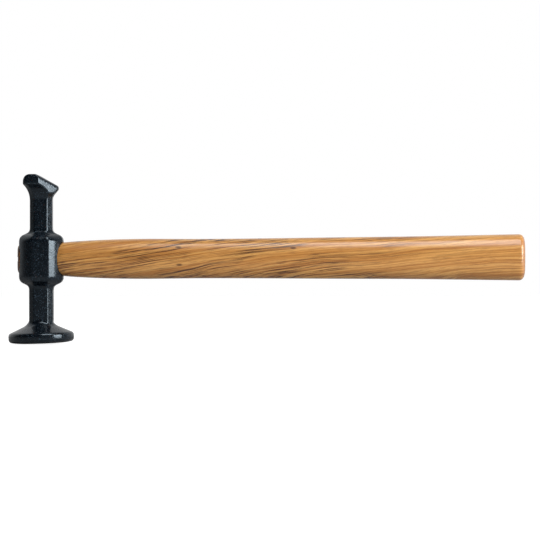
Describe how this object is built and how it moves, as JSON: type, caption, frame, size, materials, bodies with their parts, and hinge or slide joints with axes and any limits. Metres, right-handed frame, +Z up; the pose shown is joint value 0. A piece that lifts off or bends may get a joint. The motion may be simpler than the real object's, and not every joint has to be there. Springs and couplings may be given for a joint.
{
  "type": "body hammer",
  "caption": "Body hammer with a round crowned face, an eight-sided shank, a wide slanted peen and an oval wooden handle wedged in the eye.",
  "frame": {"origin": "middle of the flat of the striking face", "axes": "+Z up along the head's axis to the peen, +X along the handle to its end, Y across the handle's thickness"},
  "size_m": [0.3199, 0.0406, 0.1049],
  "materials": {
    "head_paint": "semi-gloss blue-black enamel with a fine speckle",
    "handle_wood": "golden wood with brown streaks under clear gloss lacquer",
    "wedge_wood": "pale hardwood end grain, sealed",
    "wedge_steel": "bare pressed steel, slightly dull"
  },
  "bodies": {
    "root": {"head": "head_paint", "handle": "handle_wood", "wooden_wedge": "wedge_wood", "steel_wedge": "wedge_steel"}
  },
  "joints": []
}
